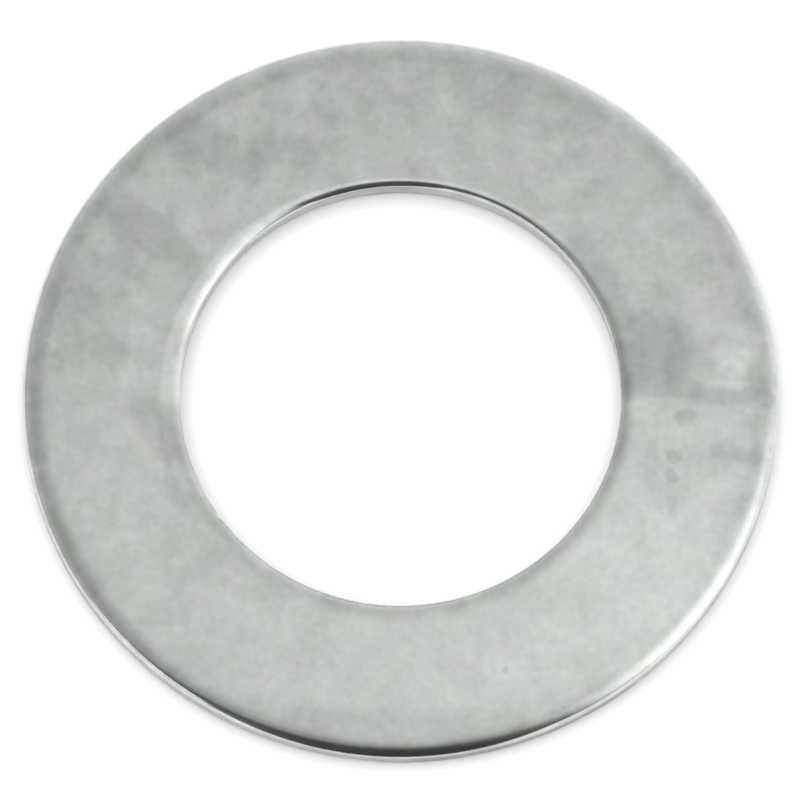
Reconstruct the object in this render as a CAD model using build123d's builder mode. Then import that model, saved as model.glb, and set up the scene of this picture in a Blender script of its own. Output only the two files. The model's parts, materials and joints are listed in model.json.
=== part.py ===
from build123d import *

import os

# A plain flat washer: one ring stamped from sheet steel in a single stroke.
# +Z is the washer's axis, and the origin is the centre of its underside.
# Each cut edge has the three zones of sheared sheet metal, from the top face down: a rolled-over
# edge, a straight polished land, and a torn zone that leans away from the land.

# Driving dimensions, mm: a 3/4 in bolt's washer in the narrow, thin series.
outside_diameter = 33.32
bore_diameter = 19.43
thickness = 1.60

# The rim's sheared edge.
rim_roll_width = 1.15
rim_roll_depth = 0.48
rim_tear_height = 0.50
rim_tear_lean = 0.14

# The bore's sheared edge: a punched hole rolls over less than a blanked rim.
bore_roll_width = 0.82
bore_roll_depth = 0.33
bore_tear_height = 0.50
bore_tear_lean = 0.14

# Tumbling rounds off the burr around both edges of the underside.
burr_round = 0.06

rim_radius = outside_diameter / 2
bore_radius = bore_diameter / 2


with BuildPart() as flat_washer:
    with BuildSketch(Plane.XZ) as section:
        with BuildLine() as outline:
            # Underside, rim's torn zone and rim's land.
            Polyline(
                (bore_radius + bore_tear_lean, 0),
                (rim_radius - rim_tear_lean, 0),
                (rim_radius, rim_tear_height),
                (rim_radius, thickness - rim_roll_depth),
            )
            EllipticalCenterArc(
                (rim_radius - rim_roll_width, thickness - rim_roll_depth),
                rim_roll_width,
                rim_roll_depth,
                start_angle=0,
                arc_size=90,
            )
            # Top face.
            Line(
                (rim_radius - rim_roll_width, thickness),
                (bore_radius + bore_roll_width, thickness),
            )
            EllipticalCenterArc(
                (bore_radius + bore_roll_width, thickness - bore_roll_depth),
                bore_roll_width,
                bore_roll_depth,
                start_angle=90,
                arc_size=90,
            )
            # Bore's land and torn zone.
            Polyline(
                (bore_radius, thickness - bore_roll_depth),
                (bore_radius, bore_tear_height),
                (bore_radius + bore_tear_lean, 0),
            )
        make_face()
        fillet(section.vertices().group_by(Axis.Y)[0], radius=burr_round)
    revolve(axis=Axis.Z)

flat_washer.part.label = "flat_washer"

os.makedirs("parts", exist_ok=True)
export_step(flat_washer.part, "parts/flat_washer.step")
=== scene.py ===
import json
import math

import bpy
import numpy as np
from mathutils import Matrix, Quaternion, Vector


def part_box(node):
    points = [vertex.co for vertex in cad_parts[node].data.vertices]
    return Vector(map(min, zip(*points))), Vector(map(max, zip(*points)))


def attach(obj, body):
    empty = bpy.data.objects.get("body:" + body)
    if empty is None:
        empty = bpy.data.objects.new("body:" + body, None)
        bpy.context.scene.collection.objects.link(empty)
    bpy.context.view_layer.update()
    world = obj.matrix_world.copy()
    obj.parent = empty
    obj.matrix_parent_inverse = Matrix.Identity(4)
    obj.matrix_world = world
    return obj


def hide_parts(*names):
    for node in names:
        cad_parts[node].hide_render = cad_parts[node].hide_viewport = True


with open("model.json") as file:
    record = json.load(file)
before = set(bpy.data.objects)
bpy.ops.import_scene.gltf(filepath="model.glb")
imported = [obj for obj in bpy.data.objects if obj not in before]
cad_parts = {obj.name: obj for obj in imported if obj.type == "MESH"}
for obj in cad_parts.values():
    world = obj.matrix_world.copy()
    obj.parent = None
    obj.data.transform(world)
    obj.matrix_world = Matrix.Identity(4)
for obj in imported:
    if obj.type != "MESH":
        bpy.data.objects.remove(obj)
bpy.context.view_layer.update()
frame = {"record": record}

# ---------------------------------------------------------------------------------------------
# Sizes, in metres. The washer's own come from the frame; the rest are its sheared edges' zones.
# ---------------------------------------------------------------------------------------------
MM = 0.001
low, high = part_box("flat_washer")
RIM_RADIUS = min(high.x, high.y, -low.x, -low.y)
THICKNESS = high.z - low.z
bore_mount = next(mount for mount in frame["record"]["mounts"] if mount["name"] == "bore")
BORE_RADIUS = bore_mount["dims"]["r_mm"] * MM

RIM_ROLL_WIDTH, RIM_ROLL_DEPTH, RIM_ROLL_FULLNESS = 1.15 * MM, 0.44 * MM, 1.9
RIM_TEAR_HEIGHT, RIM_TEAR_LEAN = 0.50 * MM, 0.14 * MM
BORE_ROLL_WIDTH, BORE_ROLL_DEPTH, BORE_ROLL_FULLNESS = 0.75 * MM, 0.33 * MM, 1.9
BORE_TEAR_HEIGHT, BORE_TEAR_LEAN = 0.50 * MM, 0.14 * MM
BURR_ROUND = 0.06 * MM
DRAG_DEPTH, GRAIN_DEPTH = 0.006 * MM, 0.035 * MM

# A nick in the bore's rolled edge.
NICK_AZIMUTH = 215
NICK_LENGTH, NICK_WIDTH = 0.45 * MM, 0.50 * MM
NICK_DEPTH, NICK_BITE = 0.06 * MM, 0.08 * MM

# ---------------------------------------------------------------------------------------------
# The washer's mesh: its section, swept round the axis with the unevenness of a real stamping.
# Every unevenness goes into the metal, so that the washer keeps its outside sizes.
# ---------------------------------------------------------------------------------------------
AROUND = 880
FACE_STEPS, ROLL_STEPS, LAND_STEPS, TEAR_STEPS, BURR_STEPS = 11, 20, 6, 11, 3
ANGLES = np.arange(AROUND) / AROUND * 2 * math.pi
random = np.random.default_rng(11)


def ripple(fewest, most):
    """A smooth random ripple round the ring, from -1 to 1, of fewest to most waves a turn."""
    waves = np.arange(fewest, most + 1)[:, None]
    phases = random.uniform(0, 2 * math.pi, waves.shape)
    sizes = random.normal(size=waves.shape)
    total = (sizes * np.cos(waves * ANGLES + phases)).sum(0)
    return total / np.abs(total).max()


def facing(azimuth):
    """From -1 to 1: how much each angle of the ring lies towards that azimuth, in degrees."""
    return np.cos(ANGLES - math.radians(azimuth))


def column(value):
    """A number, or one for each angle, as a column that broadcasts over the steps of a run."""
    return np.broadcast_to(value, AROUND)[:, None]


def straight(start, end, steps):
    """(radius, height) from start to end at every angle, without the last point."""
    share = np.arange(steps) / steps
    return [column(a) * (1 - share) + column(b) * share for a, b in zip(start, end)]


def quarter(centre, across, up, first_angle, steps, fullness=2.0):
    """A quarter of an ellipse, anticlockwise from first_angle, without its last point.

    A fullness under 2 spreads the slope: it sets in sooner and stays milder than an ellipse's.
    A fullness over 2 keeps the roll flatter for longer, with a quicker bend at its edge."""
    turn = first_angle + math.pi / 2 * np.arange(steps) / steps
    cosine, sine = np.cos(turn), np.sin(turn)
    power = 2 / column(fullness)
    return [
        column(centre[0]) + column(across) * np.sign(cosine) * np.abs(cosine) ** power,
        column(centre[1]) + column(up) * np.sign(sine) * np.abs(sine) ** power,
    ]


def section():
    """The section's runs, anticlockwise from the underside's inner edge: name, radius, height."""
    # Both rolls vary round the ring, most where they face the azimuths given here.
    rim_width = RIM_ROLL_WIDTH * (1 + 0.14 * facing(50) + 0.14 * np.maximum(facing(-40), 0) ** 4)
    rim_depth = RIM_ROLL_DEPTH * (1 + 0.40 * np.maximum(facing(-65), 0) ** 3 + 0.04 * ripple(2, 7))
    rim_fullness = RIM_ROLL_FULLNESS + 0.8 * np.maximum(facing(-100), 0) ** 2
    bore_fullness = BORE_ROLL_FULLNESS + 0.7 * np.maximum(facing(80), 0) ** 3
    bore_fullness = bore_fullness - 0.3 * np.maximum(facing(165), 0) ** 2
    bore_width = BORE_ROLL_WIDTH * (1.2 - 0.22 * facing(80) - 0.5 * np.maximum(facing(90), 0) ** 3)
    bore_depth = BORE_ROLL_DEPTH * (1 + 0.10 * facing(170) + 0.04 * ripple(2, 7))
    # The torn zones have a ragged top and an uneven foot.
    rim_tear = RIM_TEAR_HEIGHT + 0.05 * MM * ripple(3, 12) + 0.05 * MM * ripple(40, 180)
    bore_tear = BORE_TEAR_HEIGHT + 0.06 * MM * ripple(3, 12) + 0.04 * MM * ripple(30, 140)
    rim_foot = RIM_RADIUS - RIM_TEAR_LEAN * (1 + 0.25 * ripple(4, 40))
    bore_foot = BORE_RADIUS + BORE_TEAR_LEAN * (1 + 0.25 * ripple(4, 40))
    rim_roll_z = THICKNESS - rim_depth
    bore_roll_z = THICKNESS - bore_depth
    burr = BURR_ROUND
    top_start = (RIM_RADIUS - rim_width, THICKNESS)
    top_end = (BORE_RADIUS + bore_width, THICKNESS)
    return [
        ("underside", *straight((bore_foot + burr, 0), (rim_foot - burr, 0), FACE_STEPS)),
        ("burr", *quarter((rim_foot - burr, burr), burr, burr, -math.pi / 2, BURR_STEPS)),
        ("rim_tear", *straight((rim_foot, burr), (RIM_RADIUS, rim_tear), TEAR_STEPS)),
        ("rim_land", *straight((RIM_RADIUS, rim_tear), (RIM_RADIUS, rim_roll_z), LAND_STEPS)),
        ("rim_roll", *quarter((RIM_RADIUS - rim_width, rim_roll_z), rim_width, rim_depth,
                              0, ROLL_STEPS, rim_fullness)),
        ("top", *straight(top_start, top_end, FACE_STEPS)),
        ("bore_roll", *quarter((BORE_RADIUS + bore_width, bore_roll_z), bore_width, bore_depth,
                               math.pi / 2, ROLL_STEPS, bore_fullness)),
        ("bore_land", *straight((BORE_RADIUS, bore_roll_z), (BORE_RADIUS, bore_tear), LAND_STEPS)),
        ("bore_tear", *straight((BORE_RADIUS, bore_tear), (bore_foot, burr), TEAR_STEPS)),
        ("burr", *quarter((bore_foot + burr, burr), burr, burr, math.pi, BURR_STEPS)),
    ]


def roughened(name, radius, height):
    """The run with its own fine unevenness: drag lines down a land, and a grain in a torn zone."""
    into_metal = 1 if name.startswith("bore") else -1
    if name.endswith("land"):
        drag = 0.5 + 0.5 * ripple(60, 400)
        radius = radius + into_metal * DRAG_DEPTH * drag[:, None]
    if name.endswith("tear"):
        grain = random.uniform(0, 1, radius.shape)
        grain = (grain + np.roll(grain, 1, 0) + np.roll(grain, 1, 1)) / 3
        depth = np.sin(np.linspace(0.15, 1, radius.shape[1]) * math.pi)
        radius = radius + into_metal * GRAIN_DEPTH * grain * depth
    return radius, height


def hollow(x, y, centre_azimuth, distance, length, width):
    """From 0 to 1, how deep inside a dent lying along the circumference each point is."""
    a = math.radians(centre_azimuth)
    along = -x * math.sin(a) + y * math.cos(a)
    across = x * math.cos(a) + y * math.sin(a) - distance
    spread = (along / (length / 2)) ** 2 + (across / (width / 2)) ** 2
    return np.exp(-2 * spread)


def washer_mesh():
    """The whole ring as one closed mesh, with its lands and torn zones marked for the material."""
    runs = section()
    zones = [name for name, radius, _ in runs for _ in range(radius.shape[1])]
    rough = [roughened(*run) for run in runs]
    radius = np.concatenate([run[0] for run in rough], 1)
    height = np.concatenate([run[1] for run in rough], 1)
    x = radius * np.cos(ANGLES)[:, None]
    y = radius * np.sin(ANGLES)[:, None]

    # The nick is deepest at the top face. It lowers the metal and pushes it back from the hole.
    nick = hollow(x, y, NICK_AZIMUTH, BORE_RADIUS, NICK_LENGTH, NICK_WIDTH)
    nick = nick * np.clip(height / THICKNESS, 0, 1) ** 2
    height = height - NICK_DEPTH * nick
    grow = 1 + NICK_BITE * nick / radius
    x, y = x * grow, y * grow

    count = len(zones)
    verts = np.stack([x, y, height], -1).reshape(-1, 3)
    faces = []
    for i in range(AROUND):
        here, there = i * count, (i + 1) % AROUND * count
        for j in range(count):
            k = (j + 1) % count
            faces.append((here + j, there + j, there + k, here + k))
    mesh = bpy.data.meshes.new("flat_washer_ring")
    mesh.from_pydata(verts.tolist(), [], faces)
    mesh.polygons.foreach_set("use_smooth", [True] * len(faces))
    for part in ("land", "tear"):
        share = np.tile([1.0 if name.endswith(part) else 0.0 for name in zones], AROUND)
        mesh.attributes.new(part, "FLOAT", "POINT").data.foreach_set("value", share)
    mesh.update()
    return mesh


# ---------------------------------------------------------------------------------------------
# Node helpers
# ---------------------------------------------------------------------------------------------
def feed(tree, socket, value):
    """Sets an input socket to a number or vector, or links an output to it."""
    if isinstance(value, bpy.types.NodeSocket):
        tree.links.new(value, socket)
    else:
        socket.default_value = value


def maths(tree, operation, first, second=0.0):
    node = tree.nodes.new("ShaderNodeMath")
    node.operation = operation
    feed(tree, node.inputs[0], first)
    feed(tree, node.inputs[1], second)
    return node.outputs["Value"]


def vectors(tree, operation, first, second=(0, 0, 0)):
    node = tree.nodes.new("ShaderNodeVectorMath")
    node.operation = operation
    feed(tree, node.inputs[0], first)
    feed(tree, node.inputs[1], second)
    return node.outputs["Value" if operation in ("LENGTH", "DOT_PRODUCT") else "Vector"]


def scaled(tree, vector, factor):
    """A vector or colour times a number."""
    node = tree.nodes.new("ShaderNodeVectorMath")
    node.operation = "SCALE"
    feed(tree, node.inputs[0], vector)
    feed(tree, node.inputs["Scale"], factor)
    return node.outputs["Vector"]


def component(tree, vector, axis):
    """A vector's own X, Y or Z."""
    node = tree.nodes.new("ShaderNodeSeparateXYZ")
    feed(tree, node.inputs["Vector"], vector)
    return node.outputs[axis]


def ramp(tree, source, start, end, low_value=0.0, high_value=1.0, smooth=True):
    """From low_value where source is start to high_value where it is end, and level beyond."""
    node = tree.nodes.new("ShaderNodeMapRange")
    node.interpolation_type = "SMOOTHSTEP" if smooth else "LINEAR"
    # A smooth ramp is level beyond its ends by itself, and a clamp would only add a node.
    node.clamp = not smooth
    feed(tree, node.inputs["Value"], source)
    node.inputs["From Min"].default_value = start
    node.inputs["From Max"].default_value = end
    feed(tree, node.inputs["To Min"], low_value)
    feed(tree, node.inputs["To Max"], high_value)
    return node.outputs["Result"]


def blend(tree, factor, first, second, kind="FLOAT"):
    node = tree.nodes.new("ShaderNodeMix")
    node.data_type = kind
    sockets = {s.name: s for s in node.inputs if s.enabled}
    feed(tree, sockets["Factor"], factor)
    feed(tree, sockets["A"], first)
    feed(tree, sockets["B"], second)
    return next(s for s in node.outputs if s.enabled)


def noise(tree, place, size, detail=3.0, roughness=0.55, output="Fac"):
    """Cloudy noise about 0.5, with patches of about that size. "Color" gives three at once."""
    node = tree.nodes.new("ShaderNodeTexNoise")
    feed(tree, node.inputs["Vector"], place)
    node.inputs["Scale"].default_value = 1 / size
    node.inputs["Detail"].default_value = detail
    node.inputs["Roughness"].default_value = roughness
    return node.outputs[output]


# ---------------------------------------------------------------------------------------------
# Zinc-plated steel
# ---------------------------------------------------------------------------------------------
# Colours of the plating, of the polished rolls and of the handled patch.
GREENISH, NEUTRAL = (0.489, 0.522, 0.491, 1), (0.504, 0.519, 0.511, 1)
ROLL_GREY, ROLL_GREY_SHARE = (0.508, 0.520, 0.512, 1), 0.7
HANDLED_BLUE, HANDLED_BLUE_SHARE = (0.488, 0.514, 0.514, 1), 0.7
# The colour is multiplied by something between these two.
COOLER, WARMER = (0.986, 1, 1.014, 1), (1.017, 1, 0.986, 1)

FACE_ROUGHNESS, ROLL_ROUGHNESS, LAND_ROUGHNESS, TEAR_ROUGHNESS = 0.40, 0.23, 0.40, 0.60
ROUGHNESS_SPREAD = 0.05

# How bright the walls are beside the top face, and how bright the front of the rim's wall is beside the
# rest of that wall.
# That darker front is painted shade: the shaded floor in front, as it shows in the metal wall.
BORE_WALL_TONE, RIM_WALL_TONE, FRONT_WALL_PAINTED_SHADE = 0.91, 0.85, 0.7
HANDLED_DARKNESS = 0.21

# Relief too fine for the mesh.
RELIEF_HEIGHT = 0.006 * MM
GRAIN_SIZE, DRAG_LINE_WIDTH = 0.11 * MM, 0.07 * MM

# Clouds in the plating: patch size, noise detail, noise roughness, how much lighter or darker.
BROAD_CLOUDS = (5.0 * MM, 2, 0.55, 0.047)
CLOUDS = (1.3 * MM, 3, 0.55, 0.11)
MOTTLE = (0.40 * MM, 3, 0.6, 0.06)

# How far the outlines of the marks wander, and over what length.
WANDER, WANDER_LENGTH = 0.3 * MM, 1.1 * MM

# Handling marks on the top face, and painted shade along its front edge and along the bore's front-left
# edge,
# in mm from the axis: start, end, half width, how much darker.
SMUDGES_AND_SHADE = [
    ((-12.6, 8.6), (-9.9, 6.5), 1.0, 0.11),
    ((-14.2, 3.4), (-12.8, 1.8), 0.8, 0.10),
    ((-11.3, -0.8), (-10.2, -2.5), 0.8, 0.13),
    ((-10.1, -1.0), (-9.5, -4.6), 0.7, 0.12),
    ((-10.2, 2.2), (-8.8, 5.2), 0.6, 0.06),
    ((-9.7, 4.8), (-8.8, 6.0), 0.8, 0.10),
    ((-10.7, 1.4), (-10.5, 0.7), 0.5, 0.06),
    ((-13.6, 1.2), (-13.0, 0.9), 0.6, 0.05),
    ((-9.6, 12.0), (-6.8, 10.6), 1.0, 0.11),
    ((-6.0, 11.4), (-4.2, 11.2), 0.8, 0.10),
    ((-5.0, 13.0), (-4.5, 12.2), 0.8, 0.08),
    ((-4.4, 10.5), (-3.8, 10.3), 0.6, 0.05),
    ((-3.8, 13.0), (-3.2, 12.8), 0.6, 0.05),
    ((-15.2, 6.2), (-14.0, 4.6), 0.9, 0.06),
    # These three darken a band along the bore's front-left edge: painted shade.
    ((-8.3, -7.6), (-5.6, -9.4), 0.8, 0.05),
    ((-9.1, -5.0), (-5.0, -9.1), 0.5, 0.06),
    ((-9.7, -4.3), (-7.7, -7.3), 0.8, 0.05),
    ((3.0, 14.3), (8.5, 12.6), 0.9, 0.06),
    ((5.3, 14.9), (6.8, 14.2), 0.7, 0.08),
    ((4.4, 12.6), (6.2, 12.1), 0.6, 0.07),
    ((11.6, 4.9), (12.2, 4.6), 0.5, 0.06),
    ((12.2, 1.2), (13.0, 1.6), 0.7, 0.08),
    ((12.0, 0.3), (12.9, 0.2), 0.45, 0.11),
    # These three darken the face along its front edge: painted shade.
    ((-5.9, -14.4), (-4.9, -14.7), 0.7, 0.06),
    ((-8.9, -13.2), (-6.5, -14.5), 0.7, 0.04),
    ((4.2, -14.4), (6.2, -13.8), 0.7, 0.03),
    ((8.0, 6.9), (9.9, 3.6), 0.7, 0.11),
    ((8.7, 5.8), (10.2, 1.2), 0.9, 0.06),
    ((12.4, -1.05), (12.7, -1.05), 0.36, 0.19),
    ((11.9, -2.9), (12.1, -3.0), 0.33, 0.17),
    ((11.9, -3.7), (12.0, -3.9), 0.28, 0.16),
    ((14.0, -2.65), (15.6, -3.0), 0.38, 0.12),
    ((11.0, -2.4), (11.0, -4.3), 0.30, 0.07),
    ((11.9, -4.9), (12.0, -5.6), 0.25, 0.09),
    ((4.6, -12.7), (4.6, -12.8), 0.14, 0.15),
    ((0.0, -12.9), (-0.2, -13.5), 0.5, 0.05),
    ((2.0, -12.3), (3.0, -13.2), 0.7, 0.04),
    # These three darken the face along its front edge too: painted shade.
    ((-4.5, -15.7), (4.5, -15.7), 1.2, 0.13),
    ((6.0, -14.9), (8.6, -13.8), 0.9, 0.05),
    ((-3.5, -14.2), (0.5, -14.6), 0.8, 0.02),
]
# The same for places where the top face is lighter: start, end, half width, how much lighter.
LIGHTER_SPOTS = [
    ((14.2, 1.8), (15.0, 1.7), 0.5, 0.11),
    ((14.2, 1.1), (14.9, 1.1), 0.4, 0.09),
    ((13.7, 0.35), (14.9, 0.4), 0.28, 0.12),
    ((-15.6, 3.5), (-15.4, 2.7), 0.5, 0.06),
    ((-12.3, 0.4), (-11.6, 0.0), 0.5, 0.05),
    ((-9.3, 7.5), (-8.8, 7.0), 0.6, 0.08),
    ((-13.5, -4.0), (-12.8, -6.0), 1.3, 0.04),
    ((8.2, 7.2), (9.0, 6.2), 0.5, 0.04),
    ((12.0, 4.0), (13.6, 3.1), 0.6, 0.04),
    ((10.6, -0.9), (11.4, -1.6), 0.9, 0.04),
    ((13.0, -1.6), (14.6, -1.6), 0.6, 0.04),
    ((12.0, -7.6), (13.9, -4.8), 1.2, 0.045),
    ((-13.0, -6.5), (-11.5, -8.6), 1.5, 0.035),
    ((9.0, -6.5), (12.5, -10.0), 2.6, 0.06),
    ((10.3, 2.9), (11.2, 3.2), 0.6, 0.06),
    ((-11.9, 3.0), (-11.0, 3.6), 0.8, 0.05),
    ((-8.6, 8.2), (-7.9, 8.6), 0.7, 0.05),
    ((7.5, -10.6), (11.5, -9.4), 1.6, 0.05),
]


def streak(tree, place, start, end, half_width):
    """From 0 to 1 across a soft-edged streak between two points given in mm."""
    start = np.array([*start, 0]) * MM
    run = np.array([*end, 0]) * MM - start
    from_start = vectors(tree, "SUBTRACT", place, tuple(start))
    along = vectors(tree, "DOT_PRODUCT", from_start, tuple(run))
    share = maths(tree, "DIVIDE", along, float(run @ run))
    share = maths(tree, "MINIMUM", maths(tree, "MAXIMUM", share, 0.0), 1.0)
    nearest = scaled(tree, tuple(run), share)
    distance = vectors(tree, "LENGTH", vectors(tree, "SUBTRACT", from_start, nearest))
    return ramp(tree, distance, 0.5 * half_width * MM, half_width * MM * 1.3, 1, 0)


def marks(tree, place, streaks):
    """All of the streaks added up, each as strong as it says."""
    total = 0.0
    for start, end, half_width, strength in streaks:
        mark = maths(tree, "MULTIPLY", streak(tree, place, start, end, half_width), strength)
        total = maths(tree, "ADD", mark, total)
    return total


def handled_patch(tree, place):
    """From 0 to 1: the darker patch right of the bore, cut off sharply along its near side."""
    patch = streak(tree, place, (10.8, 1.2), (11.3, 2.2), 1.75)
    strip = streak(tree, place, (13.2, -0.1), (16.2, -0.2), 0.5)
    beyond = ramp(tree, component(tree, place, "Y"), -0.5 * MM, 0.0)
    patch = maths(tree, "MULTIPLY", patch, beyond)
    return maths(tree, "ADD", patch, maths(tree, "MULTIPLY", strip, 0.6))


def wandering(tree, place, flat):
    """The place across the axis, shifted a little to and fro, so that marks get uneven outlines."""
    shift = noise(tree, place, WANDER_LENGTH, 2, 0.5, "Color")
    shift = vectors(tree, "SUBTRACT", shift, (0.5, 0.5, 0.5))
    return vectors(tree, "ADD", flat, vectors(tree, "MULTIPLY", shift, (WANDER, WANDER, 0)))


def zone(tree, part):
    """From 0 to 1: the mesh's own mark for its lands or its torn zones."""
    node = tree.nodes.new("ShaderNodeAttribute")
    node.attribute_name = part
    return node.outputs["Fac"]


def rolled_over(tree, radius):
    """How far the surface is rolled over: 1 at a roll's steep edge, 0 on the flat."""
    rim_start, rim_end = RIM_RADIUS - 0.65 * RIM_ROLL_WIDTH, RIM_RADIUS - 0.1 * RIM_ROLL_WIDTH
    bore_start, bore_end = BORE_RADIUS + 0.65 * BORE_ROLL_WIDTH, BORE_RADIUS + 0.05 * BORE_ROLL_WIDTH
    rim = ramp(tree, radius, rim_start, rim_end)
    bore = ramp(tree, radius, bore_start, bore_end)
    return maths(tree, "MAXIMUM", rim, bore)


def cloudy_tone(tree, place):
    """About 1: the clouds of every size multiplied together."""
    tone = 1.0
    for size, detail, roughness, strength in (BROAD_CLOUDS, CLOUDS, MOTTLE):
        cloud = noise(tree, place, size, detail, roughness)
        cloud = ramp(tree, cloud, 0.3, 0.7, 1 - strength, 1 + strength, smooth=False)
        tone = maths(tree, "MULTIPLY", cloud, tone)
    return tone


def top_tone(tree, place, marked_place, patch):
    """1 less the handling marks, the painted shade and the patch, which are on the top face only."""
    dirt_and_shade = maths(tree, "MULTIPLY", patch, HANDLED_DARKNESS)
    dirt_and_shade = maths(tree, "ADD", marks(tree, marked_place, SMUDGES_AND_SHADE), dirt_and_shade)
    dirt_and_shade = maths(tree, "SUBTRACT", dirt_and_shade, marks(tree, marked_place, LIGHTER_SPOTS))
    on_top = ramp(tree, component(tree, place, "Z"), 0.5 * THICKNESS, 0.9 * THICKNESS)
    return maths(tree, "SUBTRACT", 1.0, maths(tree, "MULTIPLY", dirt_and_shade, on_top))


def wall_tone(tree, flat, radius):
    """How bright the lands and torn zones are, with painted shade darkening the front of the rim's
    wall.
    """
    tone = ramp(tree, radius, BORE_RADIUS, RIM_RADIUS, BORE_WALL_TONE, RIM_WALL_TONE, smooth=False)
    # Painted shade: the front of the rim's wall is darker, as the shaded floor in front shows in it.
    front = streak(tree, flat, (2.0, -16.5), (8.8, -14.1), 1.6)
    return maths(tree, "MULTIPLY", tone, blend(tree, front, 1.0, FRONT_WALL_PAINTED_SHADE))


def plating_colour(tree, place, patch, rolled):
    """The plating's faint green, weaker in places, on the rolls and in the handled patch."""
    tint = ramp(tree, noise(tree, place, 2.2 * MM, 4), 0.35, 0.65)
    colour = blend(tree, tint, GREENISH, NEUTRAL, "RGBA")
    blue = maths(tree, "MULTIPLY", patch, HANDLED_BLUE_SHARE)
    colour = blend(tree, blue, colour, HANDLED_BLUE, "RGBA")
    grey = maths(tree, "MULTIPLY", rolled, ROLL_GREY_SHARE)
    colour = blend(tree, grey, colour, ROLL_GREY, "RGBA")
    elsewhere = vectors(tree, "ADD", place, (9 * MM, 0, 0))
    warmth = ramp(tree, noise(tree, elsewhere, 1.6 * MM, 5), 0.3, 0.7)
    return vectors(tree, "MULTIPLY", colour, blend(tree, warmth, COOLER, WARMER, "RGBA"))


def dullness(tree, place, rolled, land, tear):
    """Roughness: dull plating, with the rolls smoother and the torn metal rougher."""
    size, detail, roughness, _ = CLOUDS
    least, most = FACE_ROUGHNESS - ROUGHNESS_SPREAD, FACE_ROUGHNESS + ROUGHNESS_SPREAD
    dull = ramp(tree, noise(tree, place, size, detail, roughness), 0.3, 0.7, least, most, smooth=False)
    dull = blend(tree, rolled, dull, ROLL_ROUGHNESS)
    dull = blend(tree, land, dull, LAND_ROUGHNESS)
    return blend(tree, tear, dull, TEAR_ROUGHNESS)


def fine_relief(tree, place, walls):
    """The normal for a grain on the faces and rolls, and for drag lines down the walls."""
    grain = maths(tree, "MULTIPLY", noise(tree, place, GRAIN_SIZE, 3), 0.3)
    lines = noise(tree, vectors(tree, "MULTIPLY", place, (1, 1, 0.03)), DRAG_LINE_WIDTH, 2)
    bump = tree.nodes.new("ShaderNodeBump")
    bump.inputs["Strength"].default_value = 1.0
    bump.inputs["Distance"].default_value = RELIEF_HEIGHT
    feed(tree, bump.inputs["Height"], blend(tree, walls, grain, lines))
    return bump.outputs["Normal"]


def plated_steel():
    material = bpy.data.materials.new("plated_steel")
    material.use_nodes = True
    tree = material.node_tree
    shader = tree.nodes["Principled BSDF"]
    shader.inputs["Metallic"].default_value = 1.0

    place = tree.nodes.new("ShaderNodeTexCoord").outputs["Object"]
    flat = vectors(tree, "MULTIPLY", place, (1, 1, 0))
    radius = vectors(tree, "LENGTH", flat)
    land, tear = zone(tree, "land"), zone(tree, "tear")
    walls = maths(tree, "MAXIMUM", land, tear)
    rolled = rolled_over(tree, radius)
    marked_place = wandering(tree, place, flat)
    patch = handled_patch(tree, marked_place)

    tone = maths(tree, "MULTIPLY", cloudy_tone(tree, place), top_tone(tree, place, marked_place, patch))
    tone = maths(tree, "MULTIPLY", tone, blend(tree, walls, 1.0, wall_tone(tree, flat, radius)))
    colour = scaled(tree, plating_colour(tree, place, patch, rolled), tone)
    feed(tree, shader.inputs["Base Color"], colour)
    feed(tree, shader.inputs["Roughness"], dullness(tree, place, rolled, land, tear))
    feed(tree, shader.inputs["Normal"], fine_relief(tree, place, walls))
    return material


ring = bpy.data.objects.new("flat_washer_ring", washer_mesh())
bpy.context.collection.objects.link(ring)
ring.data.materials.append(plated_steel())
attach(ring, "root")
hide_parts("flat_washer")

# ---------------------------------------------------------------------------------------------
# Camera: a long lens, high over the front edge
# ---------------------------------------------------------------------------------------------
ELEVATION = math.radians(71.8)
DISTANCE = 38 * RIM_RADIUS
RIM_SHARE_OF_VIEW = 0.9434
target = np.array([-0.02 * MM, 0, 0.6 * MM])

camera = bpy.data.objects.new("camera", bpy.data.cameras.new("camera"))
bpy.context.collection.objects.link(camera)
camera.location = target + np.array([0, -math.cos(ELEVATION), math.sin(ELEVATION)]) * DISTANCE
camera.rotation_euler = (math.pi / 2 - ELEVATION, 0, 0)
camera.data.sensor_width = 36
camera.data.lens = camera.data.sensor_width / 2 * DISTANCE * RIM_SHARE_OF_VIEW / RIM_RADIUS
camera.data.clip_start = 0.01
camera.data.clip_end = 10
bpy.context.scene.camera = camera

# ---------------------------------------------------------------------------------------------
# Floor and light
# ---------------------------------------------------------------------------------------------
bpy.context.scene.view_settings.view_transform = "Standard"
# Without caustics, the shiny metal throws no patches of light on the paper.
bpy.context.scene.cycles.caustics_reflective = False

TENT_HORIZON, TENT_TOP = 1.10, 0.69
FLOOR_LIGHT = 1.74
FLAG_HEIGHT = 3 * MM


def towards(azimuth, elevation, distance):
    """The point at that distance from the washer, in degrees and the distance's own unit."""
    a, e = math.radians(azimuth), math.radians(elevation)
    across = distance * math.cos(e)
    return (across * math.cos(a), across * math.sin(a), distance * math.sin(e))


def matt_paint(name, shade):
    """A grey without any shine."""
    paint = bpy.data.materials.new(name)
    paint.use_nodes = True
    shader = paint.node_tree.nodes["Principled BSDF"]
    shader.inputs["Base Color"].default_value = (shade, shade, shade, 1)
    shader.inputs["Roughness"].default_value = 1.0
    shader.inputs["Specular IOR Level"].default_value = 0.0
    return paint


def paper_floor():
    bpy.ops.mesh.primitive_plane_add(size=3)
    plane = bpy.context.object
    plane.name = "floor"
    plane.data.materials.append(matt_paint("floor_paper", 0.9))


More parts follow.
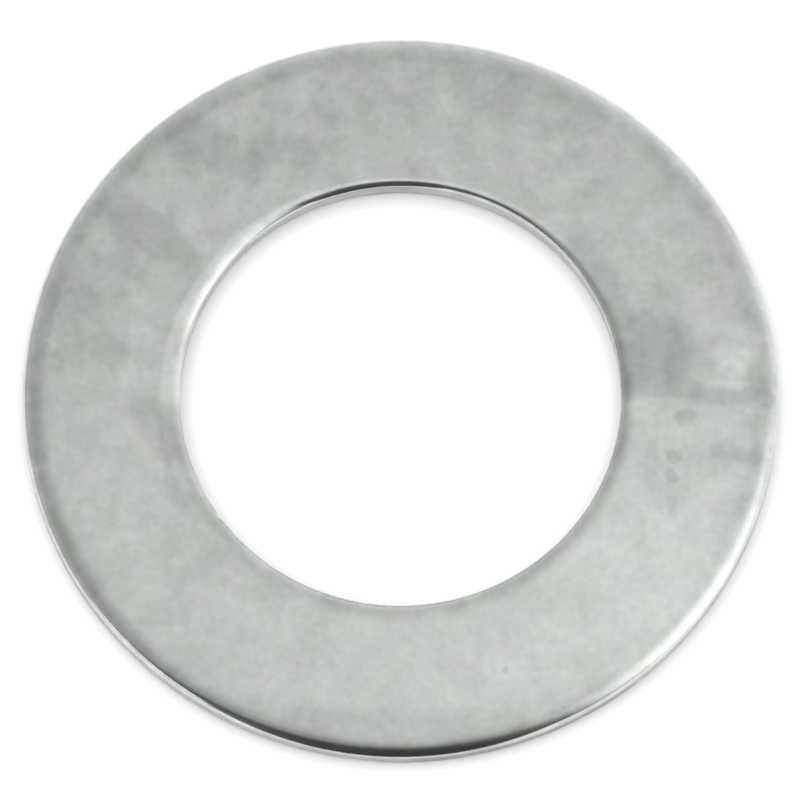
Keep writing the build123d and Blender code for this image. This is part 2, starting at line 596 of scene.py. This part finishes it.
def flag(name, azimuth, distance, length, shade):
    """A low dark card standing beside an edge of the washer, which shows in reflections only.

    Distance and length are in mm. The card's top is straight and its bottom curves up towards both
    ends, so its reflection tapers off."""
    curve = np.linspace(0, math.pi, 33)
    verts = [(length / 2 * MM * math.cos(a), 0, FLAG_HEIGHT * (1 - math.sin(a))) for a in curve]
    mesh = bpy.data.meshes.new(name)
    mesh.from_pydata(verts, [], [tuple(range(len(verts)))])
    mesh.materials.append(matt_paint(name, shade))
    card = bpy.data.objects.new(name, mesh)
    bpy.context.collection.objects.link(card)
    card.location = [c * MM for c in towards(azimuth, 0, distance)]
    card.rotation_euler = (0, 0, math.radians(azimuth - 90))
    card.visible_camera = False
    card.visible_diffuse = False
    card.visible_shadow = False


def studio_world():
    """A light tent, open in front and dimmer on the left, with white behind for the camera.

    The floor's own light is nearly even, a little stronger from the left."""
    world = bpy.data.worlds.new("studio")
    bpy.context.scene.world = world
    world.use_nodes = True
    tree = world.node_tree
    direction = tree.nodes.new("ShaderNodeTexCoord").outputs["Generated"]
    x, y, z = [component(tree, direction, axis) for axis in "XYZ"]
    tent = ramp(tree, z, 0.45, 0.85, TENT_HORIZON, TENT_TOP)
    # The opening reaches less far round on the right than on the left.
    right = maths(tree, "MAXIMUM", x, 0.0)
    forward = maths(tree, "ADD", y, maths(tree, "MULTIPLY", right, 0.3))
    opening = ramp(tree, forward, -0.54, -0.19, 0.12, 1.0)
    side = ramp(tree, x, -1.0, 1.0, 0.68, 1.26, smooth=False)
    tent = maths(tree, "MULTIPLY", maths(tree, "MULTIPLY", tent, opening), side)
    overcast = ramp(tree, x, -1.0, 1.0, 1.12 * FLOOR_LIGHT, 0.88 * FLOOR_LIGHT, smooth=False)
    path = tree.nodes.new("ShaderNodeLightPath")
    strength = blend(tree, path.outputs["Is Diffuse Ray"], tent, overcast)
    strength = blend(tree, path.outputs["Is Camera Ray"], strength, 1.0)
    background = tree.nodes["Background"]
    background.inputs["Color"].default_value = (1, 1, 1, 1)
    feed(tree, background.inputs["Strength"], strength)


def panel(name, size, place, brightness, turn=0):
    """A soft panel facing the washer, which shows in its reflections and doesn't light the floor.

    Size and place are in mm. It is turned about the line to the washer by that many degrees."""
    light = bpy.data.lights.new(name, "AREA")
    light.shape = "RECTANGLE"
    light.size, light.size_y = size[0] * MM, size[1] * MM
    light.energy = brightness * math.pi * light.size * light.size_y
    lamp = bpy.data.objects.new(name, light)
    bpy.context.collection.objects.link(lamp)
    lamp.location = [c * MM for c in place]
    lamp.rotation_mode = "QUATERNION"
    facing_washer = lamp.location.to_track_quat("Z", "Y")
    lamp.rotation_quaternion = facing_washer @ Quaternion((0, 0, 1), math.radians(turn))
    lamp.visible_camera = False
    lamp.visible_diffuse = False


paper_floor()
flag("rim_flag", -92, 17.9, 22, 0.08)
flag("bore_flag", 96, 8.4, 6.2, 0.12)
studio_world()
panel("overhead", (56, 40), (7, 5.5, 70), 0.785)
panel("right_card", (252, 330), towards(-25, 33, 300), 0.88, -20)
panel("left_strip", (240, 70), towards(-136, 14, 300), 2.0)
